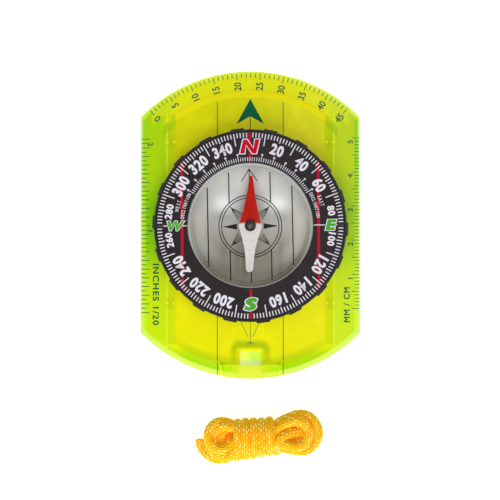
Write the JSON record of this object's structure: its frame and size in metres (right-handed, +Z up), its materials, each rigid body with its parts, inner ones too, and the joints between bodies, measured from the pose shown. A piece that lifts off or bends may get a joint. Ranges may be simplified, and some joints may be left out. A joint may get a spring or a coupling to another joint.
{
  "type": "baseplate compass",
  "caption": "Clear baseplate compass with ruler edges, a turning degree dial on a liquid-filled capsule, a pivoting magnetic needle, and a lanyard wound into a hank.",
  "frame": {"origin": "on the dial's axis, in the plane on which the compass rests: within half a millimetre of the middle of the compass's own box at its base, without the lanyard", "axes": "+Y the way the direction-of-travel arrow points, along the plate's length; +Z up, out of the dial's face; +X to the right, towards the centimetre edge"},
  "size_m": [0.0642, 0.1148, 0.0112],
  "materials": {
    "acrylic": "clear fluorescent acrylic, polished, with printed scales",
    "silicone": "clear silicone",
    "friction_rubber": "matt",
    "lanyard_cord": "knitted polyester cord",
    "bezel": "moulded, fine satin",
    "dial_face": "satin, printed in white, red and green",
    "retaining_ring": "moulded nylon",
    "capsule_cup": "moulded, gloss",
    "fill_plug": "moulded nylon",
    "rose_disc": "silvered, printed in black",
    "capsule_lens": "clear acrylic, polished",
    "pivot_pin": "hardened and polished",
    "needle_paint": "gloss paint, white half and red half",
    "needle_hub": "moulded, gloss",
    "bearing_brass": "turned",
    "bearing_jewel": "polished synthetic stone"
  },
  "bodies": {
    "baseplate": {"baseplate": "acrylic", "foot_pad_front_left": "silicone", "foot_pad_front_right": "silicone", "foot_pad_rear_left": "silicone", "foot_pad_rear_right": "silicone", "friction_ring": "friction_rubber", "lanyard_hank": "lanyard_cord"},
    "dial": {"bezel": "bezel", "dial_face": "dial_face", "retaining_ring": "retaining_ring", "capsule_cup": "capsule_cup", "fill_plug": "fill_plug", "rose_disc": "rose_disc", "capsule_lens": "capsule_lens", "pivot_pin": "pivot_pin"},
    "needle": {"needle_blade": "needle_paint", "needle_hub": "needle_hub", "needle_bearing": "bearing_brass", "needle_jewel": "bearing_jewel"}
  },
  "joints": [
    {"name": "dial_turn", "type": "hinge", "parent": "baseplate", "child": "dial", "pos_m": [0, 0, 0.0062], "axis": [0, 0, 1], "continuous": true},
    {"name": "needle_swing", "type": "hinge", "parent": "dial", "child": "needle", "pos_m": [0, 0, 0.0062], "axis": [0, 0, 1], "continuous": true}
  ]
}
